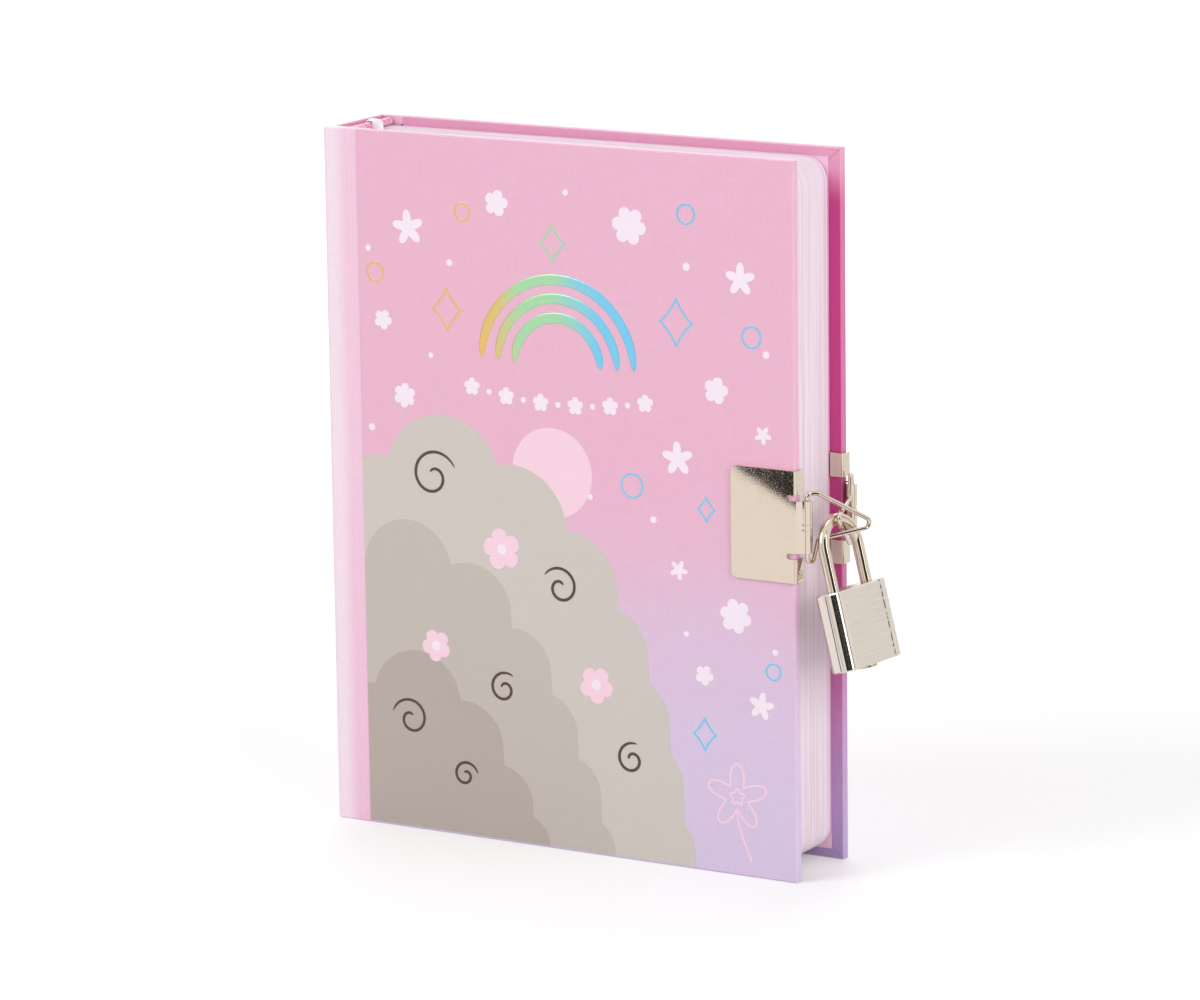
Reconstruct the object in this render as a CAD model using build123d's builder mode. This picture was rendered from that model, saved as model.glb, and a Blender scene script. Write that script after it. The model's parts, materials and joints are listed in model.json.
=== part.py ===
"""Diary with a lock, built as an assembly of separate pieces. All lengths are in millimetres.

The origin is at the middle of the spine wall's foot: +X runs to the fore-edge, -Y to the
front cover and +Z up. The diary stands closed and locked.
"""
import os
from math import cos, radians, sin

from build123d import *

os.makedirs("parts", exist_ok=True)

# case
height = 180.0
width = 135.0
thickness = 27.0
board = 2.0
wrap = 0.25
sheet = 0.2
strip_width = 8.5
hinge_gap = 0.6
turn_in = 14.0
spine_round = 1.5
edge_round = 0.45
crease = 0.16

# page block
square = 2.5
fore_inset = 3.5
hollow = 1.6
lining = 0.5
lining_inset = 2.0
page_round = 6.0
fold_round = 0.5
section_count = 8
leaf_gap = 0.3
leaf_group = 1.2
flyleaf = 0.3
leaf_hinge = 3.25
gutter_gap = 2.8
band_radius = 1.0
band_flap = 8.0
cloth = 0.3
ribbon_width = 5.0
ribbon_inset = 1.2
ribbon_hidden = 150.0
ribbon_play = 0.05

# clasp
plate = 0.7
plate_reach = 17.5
plate_height = 28.0
plate_round = 1.5
clasp_height = 90.0
tab_height = 6.0
tab_reach = 3.0
tab_round = 0.7
notch_height = 1.5
notch_depth = 2.0
notch_round = 0.7
wire = 0.6
barrel_play = 0.06
barrel_stand_off = 2.3
barrel_inset = 1.9
tongue_bend = 0.5
barrel_slit = 0.15
groove_offset = 0.65
groove_depth = 0.15
groove_height = 0.3

# wire bails: shape in their own plane, and how far each is swung
bail_end = 0.6
bail_top = 8.1
bail_shoulder = 2.9
bail_reach = 21.2
bail_rise = -2.07
bail_waist = 3.3
bail_waist_drop = 3.4
bail_foot = 1.9
bail_foot_drop = 8.8
bail_bend = 0.9
bail_shoulder_bend = 2.5
bail_nose = 1.3
front_swing_angle = 28.91
back_swing_angle = 18.06

# padlock: where the front leg's arc ends, and how it hangs
leg_x = 6.56
leg_y = 2.91
leg_z = 6.03
lock_turn_angle = 6.91
lock_lean_angle = 14.95
shackle_wire = 1.45
leg_room = 9.22
leg_inset = 5.2
leg_length = 10.0
toe_length = 4.0
heel_length = 13.0
toe_point = 0.5
heel_room = 1.6
lock_play = 0.06
body_depth = 7.0
body_height = 19.5
body_edge = 0.35
body_groove = 0.15
body_groove_inset = 1.1
latch_drop = 2.6
latch_height = 2.0
latch_depth = 2.2
latch_length = 3.6
latch_bite = 0.9
latch_room = 9.4
plug_radius = 2.4
plug_length = 12.0
plug_boss = 0.7
key_slot_width = 0.8
key_slot_depth = 3.2
key_slot_length = 9.0
pin_radius = 0.9
pin_pitch = 2.6
pin_first = 2.4
pin_count = 3
key_pin_foot = 0.9
driver_length = 1.3
pin_spring_length = 2.4
chamber_plug_length = 1.2
coil_wire = 0.22
shackle_coil_wire = 0.2
coil_turns = 3
shackle_coil_turns = 2
heel_pin_radius = 0.5
heel_pin_drop = 8.4
heel_waist = 0.7
heel_waist_length = 6.0

# derived positions
half = thickness / 2
wall = board + 2 * wrap
spine_x = -wall / 2
fore_x = spine_x + width
hinge_x = spine_x + strip_width
strip_end = hinge_x - hinge_gap / 2
cover_start = hinge_x + hinge_gap / 2
wall_y = half - wall
board_y = half - wrap - board
lining_x = wall / 2 + hollow
block_x = lining_x + lining
block_fore = fore_x - fore_inset
block_top = height - square
block_y = wall_y - lining
leaf_x = hinge_x + leaf_hinge
fly_back = -block_y + flyleaf
leaf_1_front = fly_back + leaf_gap
leaf_2_front = leaf_1_front + leaf_group + leaf_gap
section_front = leaf_2_front + leaf_group + leaf_gap
section_back = block_y - flyleaf
section = (section_back - section_front) / section_count
ribbon_section = section_count // 2
ribbon_y = section_front + section * ribbon_section
barrel = wire + barrel_play + plate
barrel_bore = wire + barrel_play
barrel_x = fore_x + barrel_stand_off
barrel_y = half - barrel_inset
tongue_y = barrel_y + barrel - plate / 2
barrel_half = plate_height / 2 - tab_height - notch_height


def box(x0, x1, y0, y1, z0, z1, mode=Mode.ADD):
    """A block between two opposite corners."""
    with Locations(((x0 + x1) / 2, (y0 + y1) / 2, (z0 + z1) / 2)):
        return Box(x1 - x0, y1 - y0, z1 - z0, mode=mode)


def save(piece, name):
    """Label the piece and write it out."""
    piece.part.label = name
    export_step(piece.part, "parts/" + name + ".step")


def coil(foot, rise, radius, wire_radius, turns):
    """A coil spring that stands on the plane foot, given by its wire's centre line."""
    path = foot.location * Helix(pitch=rise / turns, height=rise, radius=radius)
    with BuildPart() as spring:
        with BuildSketch(Plane(origin=path @ 0, z_dir=path % 0)):
            Circle(wire_radius)
        sweep(path=path)
    return spring


# boards of the fixed spine part
with BuildPart() as spine_board:
    box(spine_x + wrap, wall / 2 - wrap, -board_y, board_y, wrap, height - wrap)
save(spine_board, "spine_board")

with BuildPart() as front_joint_strip:
    box(spine_x + wrap, strip_end, wrap - half, -board_y, wrap, height - wrap)
    corner = front_joint_strip.edges().filter_by(Axis.Z).sort_by(Axis.X)[0:2].sort_by(Axis.Y)[0]
    fillet(corner, radius=spine_round - wrap)
save(front_joint_strip, "front_joint_strip")

with BuildPart() as back_joint_strip:
    add(front_joint_strip.part)
    mirror(about=Plane.XZ, mode=Mode.REPLACE)
save(back_joint_strip, "back_joint_strip")

# printed paper that covers them, turned in at head and tail
with BuildPart() as spine_wrap:
    box(spine_x, strip_end, -half, half, 0, height)
    fillet(spine_wrap.edges().filter_by(Axis.Z).sort_by(Axis.X)[0:2], radius=spine_round)
    heads = spine_wrap.faces().filter_by(Plane.XY)
    fillet(heads.edges() - heads.edges().filter_by_position(Axis.X, strip_end, strip_end), radius=edge_round)
    box(wall / 2, strip_end, -wall_y, wall_y, 0, height, mode=Mode.SUBTRACT)
    with BuildPart(mode=Mode.SUBTRACT) as spine_core:
        box(spine_x + wrap, strip_end, wrap - half, half - wrap, wrap, height - wrap)
        fillet(spine_core.edges().filter_by(Axis.Z).sort_by(Axis.X)[0:2], radius=spine_round - wrap)
        box(wall / 2 - wrap, strip_end, -board_y, board_y, wrap, height - wrap, mode=Mode.SUBTRACT)
    box(wall / 2 - wrap, strip_end, -board_y, board_y, turn_in, height - turn_in, mode=Mode.SUBTRACT)
save(spine_wrap, "spine_wrap")

# page block: lining, sewn sections, fixed inner margins, flyleaf, bands and ribbon
with BuildPart() as spine_lining:
    box(lining_x, strip_end, -wall_y, wall_y, square + lining_inset, block_top - lining_inset)
    box(block_x, strip_end, -block_y, block_y, 0, height, mode=Mode.SUBTRACT)
save(spine_lining, "spine_lining")

for index in range(section_count):
    section_y = section_front + section * index
    with BuildPart() as page_section:
        box(block_x, block_fore, section_y, section_y + section, square, block_top)
        fillet(page_section.edges().filter_by(Axis.Y).sort_by(Axis.X)[-2:], radius=page_round)
        fillet(page_section.edges().filter_by(Axis.Z).sort_by(Axis.X)[0:2], radius=fold_round)
        if index == ribbon_section:
            pocket_x = block_x + ribbon_inset
            pocket_depth = cloth + ribbon_play
            box(pocket_x - ribbon_play, pocket_x + ribbon_width + ribbon_play, section_y,
                section_y + pocket_depth, block_top - ribbon_hidden, block_top, mode=Mode.SUBTRACT)
    save(page_section, "section_" + str(index + 1))

with BuildPart() as gutter_leaves:
    box(block_x, leaf_x - gutter_gap, -block_y, section_front, square, block_top)
save(gutter_leaves, "gutter_leaves")

with BuildPart() as back_flyleaf:
    box(block_x, block_fore, section_back, block_y, square, block_top)
    fillet(back_flyleaf.edges().filter_by(Axis.Y).sort_by(Axis.X)[-2:], radius=page_round)
save(back_flyleaf, "back_flyleaf")

with BuildPart() as head_band:
    with BuildSketch(Plane.XZ.offset(-block_y)):
        with Locations((block_x + fold_round, block_top + band_radius)):
            Circle(band_radius)
        with BuildLine():
            Polyline((block_x + fold_round, block_top + band_radius),
                     (block_x + fold_round, block_top + band_radius * 2),
                     (lining_x - cloth, block_top + cloth),
                     (lining_x - cloth, block_top - band_flap),
                     (lining_x, block_top - band_flap),
                     (lining_x, block_top),
                     (block_x + fold_round, block_top), close=True)
        make_face()
    extrude(amount=2 * block_y)
save(head_band, "head_band")

with BuildPart() as tail_band:
    add(head_band.part)
    mirror(about=Plane.XY.offset(height / 2), mode=Mode.REPLACE)
save(tail_band, "tail_band")

with BuildPart() as ribbon_marker:
    over_z = block_top + band_radius * 2
    ribbon_x = block_x + ribbon_inset
    with BuildSketch(Plane.XZ.offset(-ribbon_y - ribbon_width / 2)):
        with BuildLine():
            Polyline((lining_x - cloth, block_top + band_radius),
                     (lining_x + cloth, over_z),
                     (ribbon_x + band_radius, over_z),
                     (ribbon_x + band_radius + cloth, block_top),
                     (ribbon_x + band_radius + 2 * cloth, block_top),
                     (ribbon_x + band_radius + cloth, over_z + cloth),
                     (lining_x + cloth, over_z + cloth),
                     (lining_x - 2 * cloth, block_top + band_radius),
                     (lining_x - 2 * cloth, block_top - band_flap),
                     (lining_x - cloth, block_top - band_flap), close=True)
        make_face()
    extrude(amount=ribbon_width)
    box(ribbon_x + band_radius, ribbon_x + ribbon_width, ribbon_y, ribbon_y + cloth,
        block_top - ribbon_width, over_z - cloth)
    box(ribbon_x, ribbon_x + ribbon_width, ribbon_y, ribbon_y + cloth,
        block_top - ribbon_hidden + ribbon_play, block_top - ribbon_play)
save(ribbon_marker, "ribbon_marker")

# leaves that turn with the front cover
for name, front_y, depth in (("front_flyleaf", -block_y, flyleaf),
                             ("leaf_group_1", leaf_1_front, leaf_group),
                             ("leaf_group_2", leaf_2_front, leaf_group)):
    with BuildPart() as leaf:
        box(leaf_x, block_fore, front_y, front_y + depth, square, block_top)
        fillet(leaf.edges().filter_by(Axis.Y).sort_by(Axis.X)[-2:], radius=page_round)
    save(leaf, name)

# covers
with BuildPart() as front_board:
    box(cover_start, fore_x - wrap, wrap - half, -board_y, wrap, height - wrap)
save(front_board, "front_board")

with BuildPart() as front_wrap:
    box(cover_start, fore_x, -half, -wall_y, 0, height)
    rims = front_wrap.edges().filter_by(Axis.X) + front_wrap.edges().filter_by(Axis.Z).sort_by(Axis.X)[-2:]
    fillet(rims, radius=edge_round)
    box(cover_start, fore_x - wrap, wrap - half, -board_y, wrap, height - wrap, mode=Mode.SUBTRACT)
    box(cover_start, fore_x - turn_in, -board_y, -wall_y, turn_in, height - turn_in, mode=Mode.SUBTRACT)
    # mitred folds where the turn-ins meet
    for corner_z, lean in ((height, 1), (0, -1)):
        with BuildSketch(Plane.XZ.offset(wall_y)):
            with Locations((fore_x - turn_in / 2, corner_z - lean * turn_in / 2)):
                Rectangle(turn_in * 2, crease, rotation=45 * lean)
        extrude(amount=wrap / 2, mode=Mode.SUBTRACT)
save(front_wrap, "front_wrap")

with BuildPart() as front_pastedown:
    box(cover_start, block_fore, -wall_y, sheet - wall_y, square, block_top)
    box(cover_start, fore_x - turn_in, -board_y, -wall_y, turn_in, height - turn_in)
save(front_pastedown, "front_pastedown")

with BuildPart() as front_clasp_plate:
    with BuildSketch(Plane.XZ.offset(half)) as plate_face:
        with Locations((fore_x - plate_reach / 2, clasp_height)):
            Rectangle(plate_reach, plate_height)
        fillet(plate_face.vertices().sort_by(Axis.X)[0:2], radius=plate_round)
    extrude(amount=plate)
    tab_z = plate_height / 2 - tab_height / 2
    for place in (-tab_z, tab_z):
        low = clasp_height + place - tab_height / 2
        box(fore_x - tab_reach, fore_x + plate, -half - plate, plate - wall_y, low, low + tab_height)
    bends = front_clasp_plate.edges().filter_by(Axis.Z).filter_by_position(
        Axis.X, fore_x + plate / 2, fore_x + plate)
    fillet(bends, radius=tab_round)
    box(fore_x - plate_reach, fore_x, -half, -wall_y, 0, height, mode=Mode.SUBTRACT)
    for place in (-barrel_half - notch_height / 2, barrel_half + notch_height / 2):
        with BuildSketch(Plane.XZ.offset(half)) as notch:
            with Locations((fore_x, clasp_height + place)):
                Rectangle(notch_depth * 2, notch_height)
            fillet(notch.vertices(), radius=notch_round)
        extrude(amount=plate, mode=Mode.SUBTRACT)
    # tongue that steps round the board's edge and rolls into the barrel
    with BuildSketch(Plane.XY.offset(clasp_height - barrel_half)):
        with BuildLine():
            Polyline((fore_x - notch_depth, -half - plate / 2),
                     (fore_x + tongue_bend, -half - plate / 2),
                     (barrel_x - plate, -tongue_y),
                     (barrel_x, -tongue_y))
        trace(line_width=plate)
        with Locations((barrel_x, -barrel_y)):
            Circle(barrel)
            Circle(barrel_bore, mode=Mode.SUBTRACT)
        with Locations((barrel_x - barrel, -barrel_y - barrel_bore + barrel_slit / 2)):
            Rectangle(barrel * 2 - barrel_bore, barrel_slit, mode=Mode.SUBTRACT)
    extrude(amount=2 * barrel_half)
    for place in (-groove_offset, groove_offset):
        with BuildSketch(Plane.XY.offset(clasp_height + place - groove_height / 2)):
            with Locations((barrel_x, -barrel_y)):
                Circle(barrel + groove_depth)
                Circle(barrel - groove_depth, mode=Mode.SUBTRACT)
        extrude(amount=groove_height, mode=Mode.SUBTRACT)
save(front_clasp_plate, "front_clasp_plate")

for name, front in (("board", front_board), ("wrap", front_wrap), ("pastedown", front_pastedown),
                    ("clasp_plate", front_clasp_plate)):
    with BuildPart() as back:
        add(front.part)
        mirror(about=Plane.XZ, mode=Mode.REPLACE)
    save(back, "back_" + name)

# wire bails, hooked into the rolled barrels
front_out = (sin(radians(front_swing_angle)), cos(radians(front_swing_angle)))
back_out = (sin(radians(back_swing_angle)), -cos(radians(back_swing_angle)))
front_plane = Plane(origin=(barrel_x, -barrel_y, clasp_height), x_dir=(*front_out, 0),
                    z_dir=(front_out[1], -front_out[0], 0))
back_plane = Plane(origin=(barrel_x, barrel_y, clasp_height), x_dir=(*back_out, 0),
                   z_dir=(-back_out[1], back_out[0], 0))
for name, bail_plane in (("front_bail", front_plane), ("back_bail", back_plane)):
    with BuildPart() as bail:
        with BuildLine(bail_plane) as bail_path:
            FilletPolyline((0, bail_end), (0, bail_top), (bail_shoulder, bail_top),
                           (bail_reach, bail_rise), (bail_waist, -bail_waist_drop),
                           (bail_foot, -bail_foot_drop), (0, -bail_foot_drop), (0, -bail_end),
                           radius=[bail_bend, bail_shoulder_bend, bail_nose, bail_bend, bail_bend, bail_bend])
        with BuildSketch(Plane(origin=bail_path.line @ 0, z_dir=bail_path.line % 0)):
            Circle(wire)
        sweep()
    save(bail, name)

# padlock, in a plane of its own: x across the two legs, z up the legs
across = Vector(sin(radians(lock_turn_angle)), cos(radians(lock_turn_angle)), 0)
outward = Vector(cos(radians(lock_turn_angle)), -sin(radians(lock_turn_angle)), 0)
upward = Vector(0, 0, cos(radians(lock_lean_angle))) - outward * sin(radians(lock_lean_angle))
lock = Plane(origin=(fore_x + leg_x, leg_y - half, clasp_height - leg_z), x_dir=across, z_dir=upward)
leg_spacing = 2 * barrel_y - leg_room
body_mid = leg_spacing / 2
body_width = leg_spacing + 2 * leg_inset
body_top = -leg_length
body_low = body_top - body_height
leg_bore = shackle_wire + lock_play
latch_z = body_top - latch_drop
plug_bore = plug_radius + lock_play
plug_top = body_low + plug_length
pin_bore = pin_radius + lock_play
chamber_end = plug_bore + driver_length + pin_spring_length + chamber_plug_length
key_pin_end = (plug_radius ** 2 - pin_radius ** 2) ** 0.5
latch_tip = shackle_wire - latch_bite + lock_play
heel_pin_offset = shackle_wire
heel_pin_half = ((body_depth / 2) ** 2 - heel_pin_radius ** 2) ** 0.5
heel_waist_low = body_top - heel_pin_drop - heel_waist_length + heel_pin_radius + lock_play
lock_up = Axis(lock.origin, lock.z_dir)


def lock_face(x, z):
    """Upright plane through the point x, z of the padlock, its x across the legs and y up."""
    return Plane(origin=lock.from_local_coords(Vector(x, 0, z)), x_dir=lock.x_dir, z_dir=-lock.y_dir)


def pin_plane(x, z):
    """Plane across a pin stack at x, z of the padlock, facing the front leg's side."""
    return Plane(origin=lock.from_local_coords(Vector(x, 0, z)), x_dir=lock.y_dir, z_dir=-lock.x_dir)


with BuildPart() as shackle:
    with BuildLine(lock_face(0, 0)):
        Line((0, body_top - toe_length), (0, 0))
        CenterArc((body_mid, 0), body_mid, 180, -180)
        Line((leg_spacing, 0), (leg_spacing, body_top - heel_length))
    with BuildSketch(lock.offset(body_top - toe_length)):
        Circle(shackle_wire)
    sweep()
    ends = shackle.faces().filter_by(GeomType.PLANE)
    chamfer(ends.edges(), length=toe_point)
    # notch that the latch holds, cut with flanks at 45 degrees
    with BuildSketch(lock_face(0, latch_z)):
        with BuildLine():
            Polyline((shackle_wire - latch_bite, latch_height / 2),
                     (shackle_wire + latch_bite, latch_height / 2),
                     (shackle_wire + latch_bite, -latch_height / 2 - 2 * latch_bite),
                     (shackle_wire - latch_bite, -latch_height / 2), close=True)
        make_face()
    extrude(amount=shackle_wire, both=True, mode=Mode.SUBTRACT)
    # waist that the heel pin runs in, so that the shackle stays on the case
    with BuildSketch(lock.offset(heel_waist_low)):
        with Locations((leg_spacing, 0)):
            Circle(shackle_wire)
            Circle(heel_waist, mode=Mode.SUBTRACT)
    extrude(amount=heel_waist_length, mode=Mode.SUBTRACT)
save(shackle, "shackle")

with BuildPart() as lock_case:
    with BuildSketch(lock.offset(body_low)):
        with Locations((body_mid, 0)):
            SlotOverall(body_width, body_depth)
    extrude(amount=body_height)
    rims = lock_case.faces().filter_by(GeomType.PLANE).sort_by(lock_up)
    chamfer(rims[0].edges() + rims[-1].edges(), length=body_edge)
    # fine line along each rounded side
    for side in (-1, 1):
        for face in (-1, 1):
            line_x = body_mid + side * (body_width / 2 - body_depth / 2 + body_groove_inset)
            with BuildSketch(lock.offset(body_low)):
                with Locations((line_x, face * body_depth / 2)):
                    Circle(body_groove * 2)
            extrude(amount=body_height, mode=Mode.SUBTRACT)
    # legs
    with BuildSketch(lock.offset(body_top)):
        Circle(leg_bore)
    extrude(amount=-toe_length - lock_play, mode=Mode.SUBTRACT)
    with BuildSketch(lock.offset(body_top)):
        with Locations((leg_spacing, 0)):
            Circle(leg_bore)
    extrude(amount=-heel_length - heel_room, mode=Mode.SUBTRACT)
    # latch channel, opening into the front leg's bore
    with BuildSketch(lock_face(0, latch_z)):
        with Locations((latch_room / 2, 0)):
            Rectangle(latch_room, latch_height + 2 * lock_play)
    extrude(amount=latch_depth / 2 + lock_play, both=True, mode=Mode.SUBTRACT)
    # key plug and its row of pin stacks
    with BuildSketch(lock.offset(body_low)):
        with Locations((body_mid, 0)):
            Circle(plug_bore)
    extrude(amount=plug_length + lock_play, mode=Mode.SUBTRACT)
    for index in range(pin_count):
        with BuildSketch(pin_plane(body_mid, body_low + pin_first + pin_pitch * index)):
            Circle(pin_bore)
        extrude(amount=chamber_end, mode=Mode.SUBTRACT)
    # heel pin
    with BuildSketch(lock_face(leg_spacing + heel_pin_offset, body_top - heel_pin_drop)):
        Circle(heel_pin_radius)
    extrude(amount=body_depth / 2, both=True, mode=Mode.SUBTRACT)
save(lock_case, "lock_case")

with BuildPart() as heel_pin:
    with BuildSketch(lock_face(leg_spacing + heel_pin_offset, body_top - heel_pin_drop)):
        Circle(heel_pin_radius)
    extrude(amount=heel_pin_half, both=True)
save(heel_pin, "heel_pin")

coil_low = body_top - heel_length - heel_room + shackle_coil_wire
coil_foot = Plane(origin=lock.from_local_coords(Vector(leg_spacing, 0, coil_low)),
                  x_dir=lock.x_dir, z_dir=lock.z_dir)
shackle_spring = coil(coil_foot, heel_room - 2 * shackle_coil_wire,
                      shackle_wire - 2 * shackle_coil_wire, shackle_coil_wire, shackle_coil_turns)
save(shackle_spring, "shackle_spring")

with BuildPart() as latch_bolt:
    with BuildSketch(lock_face(0, latch_z)):
        with BuildLine():
            Polyline((latch_tip, latch_height / 2),
                     (latch_tip + latch_length, latch_height / 2),
                     (latch_tip + latch_length, -latch_height / 2),
                     (latch_tip + latch_height / 2, -latch_height / 2),
                     (latch_tip, 0), close=True)
        make_face()
    extrude(amount=latch_depth / 2, both=True)
save(latch_bolt, "latch_bolt")

with BuildPart() as key_plug:
    with BuildSketch(lock.offset(body_low - plug_boss)):
        with Locations((body_mid, 0)):
            Circle(plug_radius)
    extrude(amount=plug_length + plug_boss)
    with BuildSketch(lock.offset(body_low - plug_boss)):
        with Locations((body_mid, 0)):
            Rectangle(key_slot_depth, key_slot_width)
    extrude(amount=key_slot_length, mode=Mode.SUBTRACT)
    for index in range(pin_count):
        with BuildSketch(pin_plane(body_mid, body_low + pin_first + pin_pitch * index)):
            Circle(pin_bore)
        extrude(amount=plug_radius, mode=Mode.SUBTRACT)
save(key_plug, "key_plug")

# pin stacks, each from the key slot outwards: key pin, driver, spring and closing plug
for index in range(pin_count):
    stack = pin_plane(body_mid, body_low + pin_first + pin_pitch * index)
    number = str(index + 1)
    with BuildPart() as key_pin:
        with BuildSketch(stack.offset(key_pin_foot)):
            Circle(pin_radius)
        extrude(amount=key_pin_end - key_pin_foot)
    save(key_pin, "key_pin_" + number)
    with BuildPart() as driver_pin:
        with BuildSketch(stack.offset(plug_bore)):
            Circle(pin_radius)
        extrude(amount=driver_length)
    save(driver_pin, "driver_pin_" + number)
    pin_spring = coil(stack.offset(plug_bore + driver_length + coil_wire),
                      pin_spring_length - 2 * coil_wire, pin_radius - 2 * coil_wire,
                      coil_wire, coil_turns)
    save(pin_spring, "pin_spring_" + number)
    with BuildPart() as chamber_plug:
        with BuildSketch(stack.offset(chamber_end - chamber_plug_length)):
            Circle(pin_bore)
        extrude(amount=chamber_plug_length)
    save(chamber_plug, "chamber_plug_" + number)
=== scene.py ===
"""Dresses the diary with a lock: paper, print, foil, pages, clasp and padlock over the CAD frame."""
import json
import math

import bmesh
import bpy
import numpy as np
from bpy.props import FloatProperty, FloatVectorProperty, PointerProperty
from mathutils import Matrix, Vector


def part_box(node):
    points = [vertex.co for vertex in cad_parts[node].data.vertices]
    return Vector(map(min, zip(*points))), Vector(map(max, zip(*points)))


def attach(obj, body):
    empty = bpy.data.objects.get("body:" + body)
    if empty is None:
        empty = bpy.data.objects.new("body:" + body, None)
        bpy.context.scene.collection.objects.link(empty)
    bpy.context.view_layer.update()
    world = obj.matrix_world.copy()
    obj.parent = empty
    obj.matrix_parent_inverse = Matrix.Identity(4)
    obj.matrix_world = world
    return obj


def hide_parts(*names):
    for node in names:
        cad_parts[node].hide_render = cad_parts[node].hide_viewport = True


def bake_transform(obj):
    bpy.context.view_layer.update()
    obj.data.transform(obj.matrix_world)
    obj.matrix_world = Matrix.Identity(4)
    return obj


bl_info = {
    "name": "Diary with lock",
    "version": (1, 0, 0),
    "blender": (4, 5, 0),
    "location": "3D View > Sidebar > Diary",
    "description": "Builds a hardback diary with a clasp and a small padlock",
    "category": "Add Mesh",
}

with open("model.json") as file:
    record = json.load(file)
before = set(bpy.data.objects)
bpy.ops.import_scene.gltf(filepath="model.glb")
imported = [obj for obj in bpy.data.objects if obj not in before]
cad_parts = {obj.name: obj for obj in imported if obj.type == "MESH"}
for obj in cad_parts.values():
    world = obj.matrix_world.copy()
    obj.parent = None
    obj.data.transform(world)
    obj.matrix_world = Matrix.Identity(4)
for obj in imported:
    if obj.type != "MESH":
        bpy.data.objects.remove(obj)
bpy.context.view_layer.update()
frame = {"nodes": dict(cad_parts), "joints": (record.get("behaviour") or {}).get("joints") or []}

MM = 0.001
# points nearer than this, in metres, are one
MERGE = 1e-7
# width of the camera's film, in millimetres
SENSOR = 36.0
QUARTER_TURN = math.pi / 2
FULL_TURN = 2 * math.pi


def linear(*code):
    """A colour written 0 to 255, as the light values that Blender's sockets take."""
    value = np.array(code, float) / 255
    return tuple(np.where(value <= 0.04045, value / 12.92, ((value + 0.055) / 1.055) ** 2.4))


def joint(name):
    """The frame's joint of that name."""
    return next(j for j in frame["joints"] if j["name"] == name)


def at(node, corner=0):
    """A corner of a CAD node's box, in millimetres."""
    return np.array(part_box(node)[corner]) / MM


FRONT_LOW = at("front_wrap")
FRONT_HIGH = at("front_wrap", 1)
SPINE_LOW = at("spine_wrap")
HINGE_X = joint("front_cover_open")["pos_m"][0] / MM
BARREL_FRONT = np.array(joint("front_bail_swing")["pos_m"]) / MM
HEIGHT = FRONT_HIGH[2]
HALF = -FRONT_LOW[1]
FORE_X = FRONT_HIGH[0]
WALL = FRONT_HIGH[1] + HALF
EDGE_ROUND = 0.45

# what the lamps face, and their names, places and sizes, in metres
AIM = np.array([0.06, 0.0, 0.09])
LAMPS = (("key", (-0.75, -1.10, 1.05), 1.0), ("fill", (1.35, -0.50, 0.60), 1.2),
         ("top", (-0.05, 0.30, 1.50), 1.0), ("back", (-0.60, 1.30, 0.80), 1.2))


def colour(name, note, code):
    """A colour property with its default."""
    return FloatVectorProperty(name=name, description=note, subtype="COLOR", size=3, min=0, max=1,
                               default=linear(*code))


def length(name, note, value):
    """A length property in metres, from millimetres."""
    return FloatProperty(name=name, description=note, default=value * MM, unit="LENGTH", precision=5)


def angle(name, note, value):
    """An angle property, from degrees."""
    return FloatProperty(name=name, description=note, default=math.radians(value), subtype="ANGLE")


class DiaryPaper(bpy.types.PropertyGroup):
    """Colours and grain of the printed case and its pages."""
    head: colour("Head", "Cover colour at the head", (236, 183, 206))
    tail: colour("Tail", "Cover colour at the tail", (219, 200, 228))
    spine_head: colour("Spine head", "Spine strip at the head", (243, 203, 222))
    spine_tail: colour("Spine tail", "Spine strip at the tail", (242, 197, 220))
    # the turned-in colours are the case paper painted as it looks in shade inside the case
    inside_head: colour("Inside head", "Turned-in paper at the head", (205, 68, 140))
    inside_tail: colour("Inside tail", "Turned-in paper at the tail", (181, 152, 202))
    inside_strip: colour("Inside strip", "Turned-in paper at the spine", (240, 190, 215))
    page: colour("Page", "Page paper", (240, 222, 232))
    endpaper: colour("Endpaper", "Pastedowns and flyleaves", (240, 200, 222))
    board: colour("Board", "Bare board at a cut edge", (188, 176, 168))
    band: colour("Band", "Head and tail bands", (233, 136, 176))
    ribbon_tone: colour("Ribbon tone", "Ribbon marker", (250, 246, 248))
    # these too carry the painted shade inside the case, the head's turn-in lighter where light reaches it
    inside_spine: colour("Inside spine", "Turned-in paper on the spine", (246, 168, 206))
    turn_in_head: colour("Head turn-in", "Turned-in paper along the head", (229, 161, 192))
    strip: length("Strip", "Width of the paler strip by the spine", 9.0)
    ribbon: length("Ribbon", "Width of the ribbon marker", 2.9)
    thread: length("Thread", "Spacing of the linen grain's threads", 0.55)
    leaf: length("Leaf", "Thickness of one leaf at the page edges", 0.11)
    rule: length("Rule", "Spacing of the ruled lines", 7.5)
    rule_tone: colour("Rule tone", "Ruled lines on the pages", (206, 150, 186))


class DiaryPrint(bpy.types.PropertyGroup):
    """Colours and sizes of the print and the foil on the front cover."""
    cloud: colour("Cloud", "Large warm grey shape", (207, 199, 191))
    middle: colour("Middle", "Middle bank of clouds", (196, 186, 178))
    shade: colour("Shade", "Nearest bank of clouds", (182, 170, 162))
    blush: colour("Blush", "Pale pink accents", (247, 210, 225))
    line: colour("Line", "Thin dark lines", (84, 66, 58))
    white: colour("White", "Stars, flowers and dots", (246, 232, 242))
    gold: colour("Foil start", "Foil colour at the spine's side", (228, 186, 104))
    green: colour("Foil middle", "Foil colour in the middle", (166, 214, 168))
    blue: colour("Foil end", "Foil colour at the fore-edge's side", (122, 200, 234))
    ink: length("Ink", "How far the print stands off the paper", 0.02)
    foil: length("Foil", "How far the foil stands off the paper", 0.12)


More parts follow.
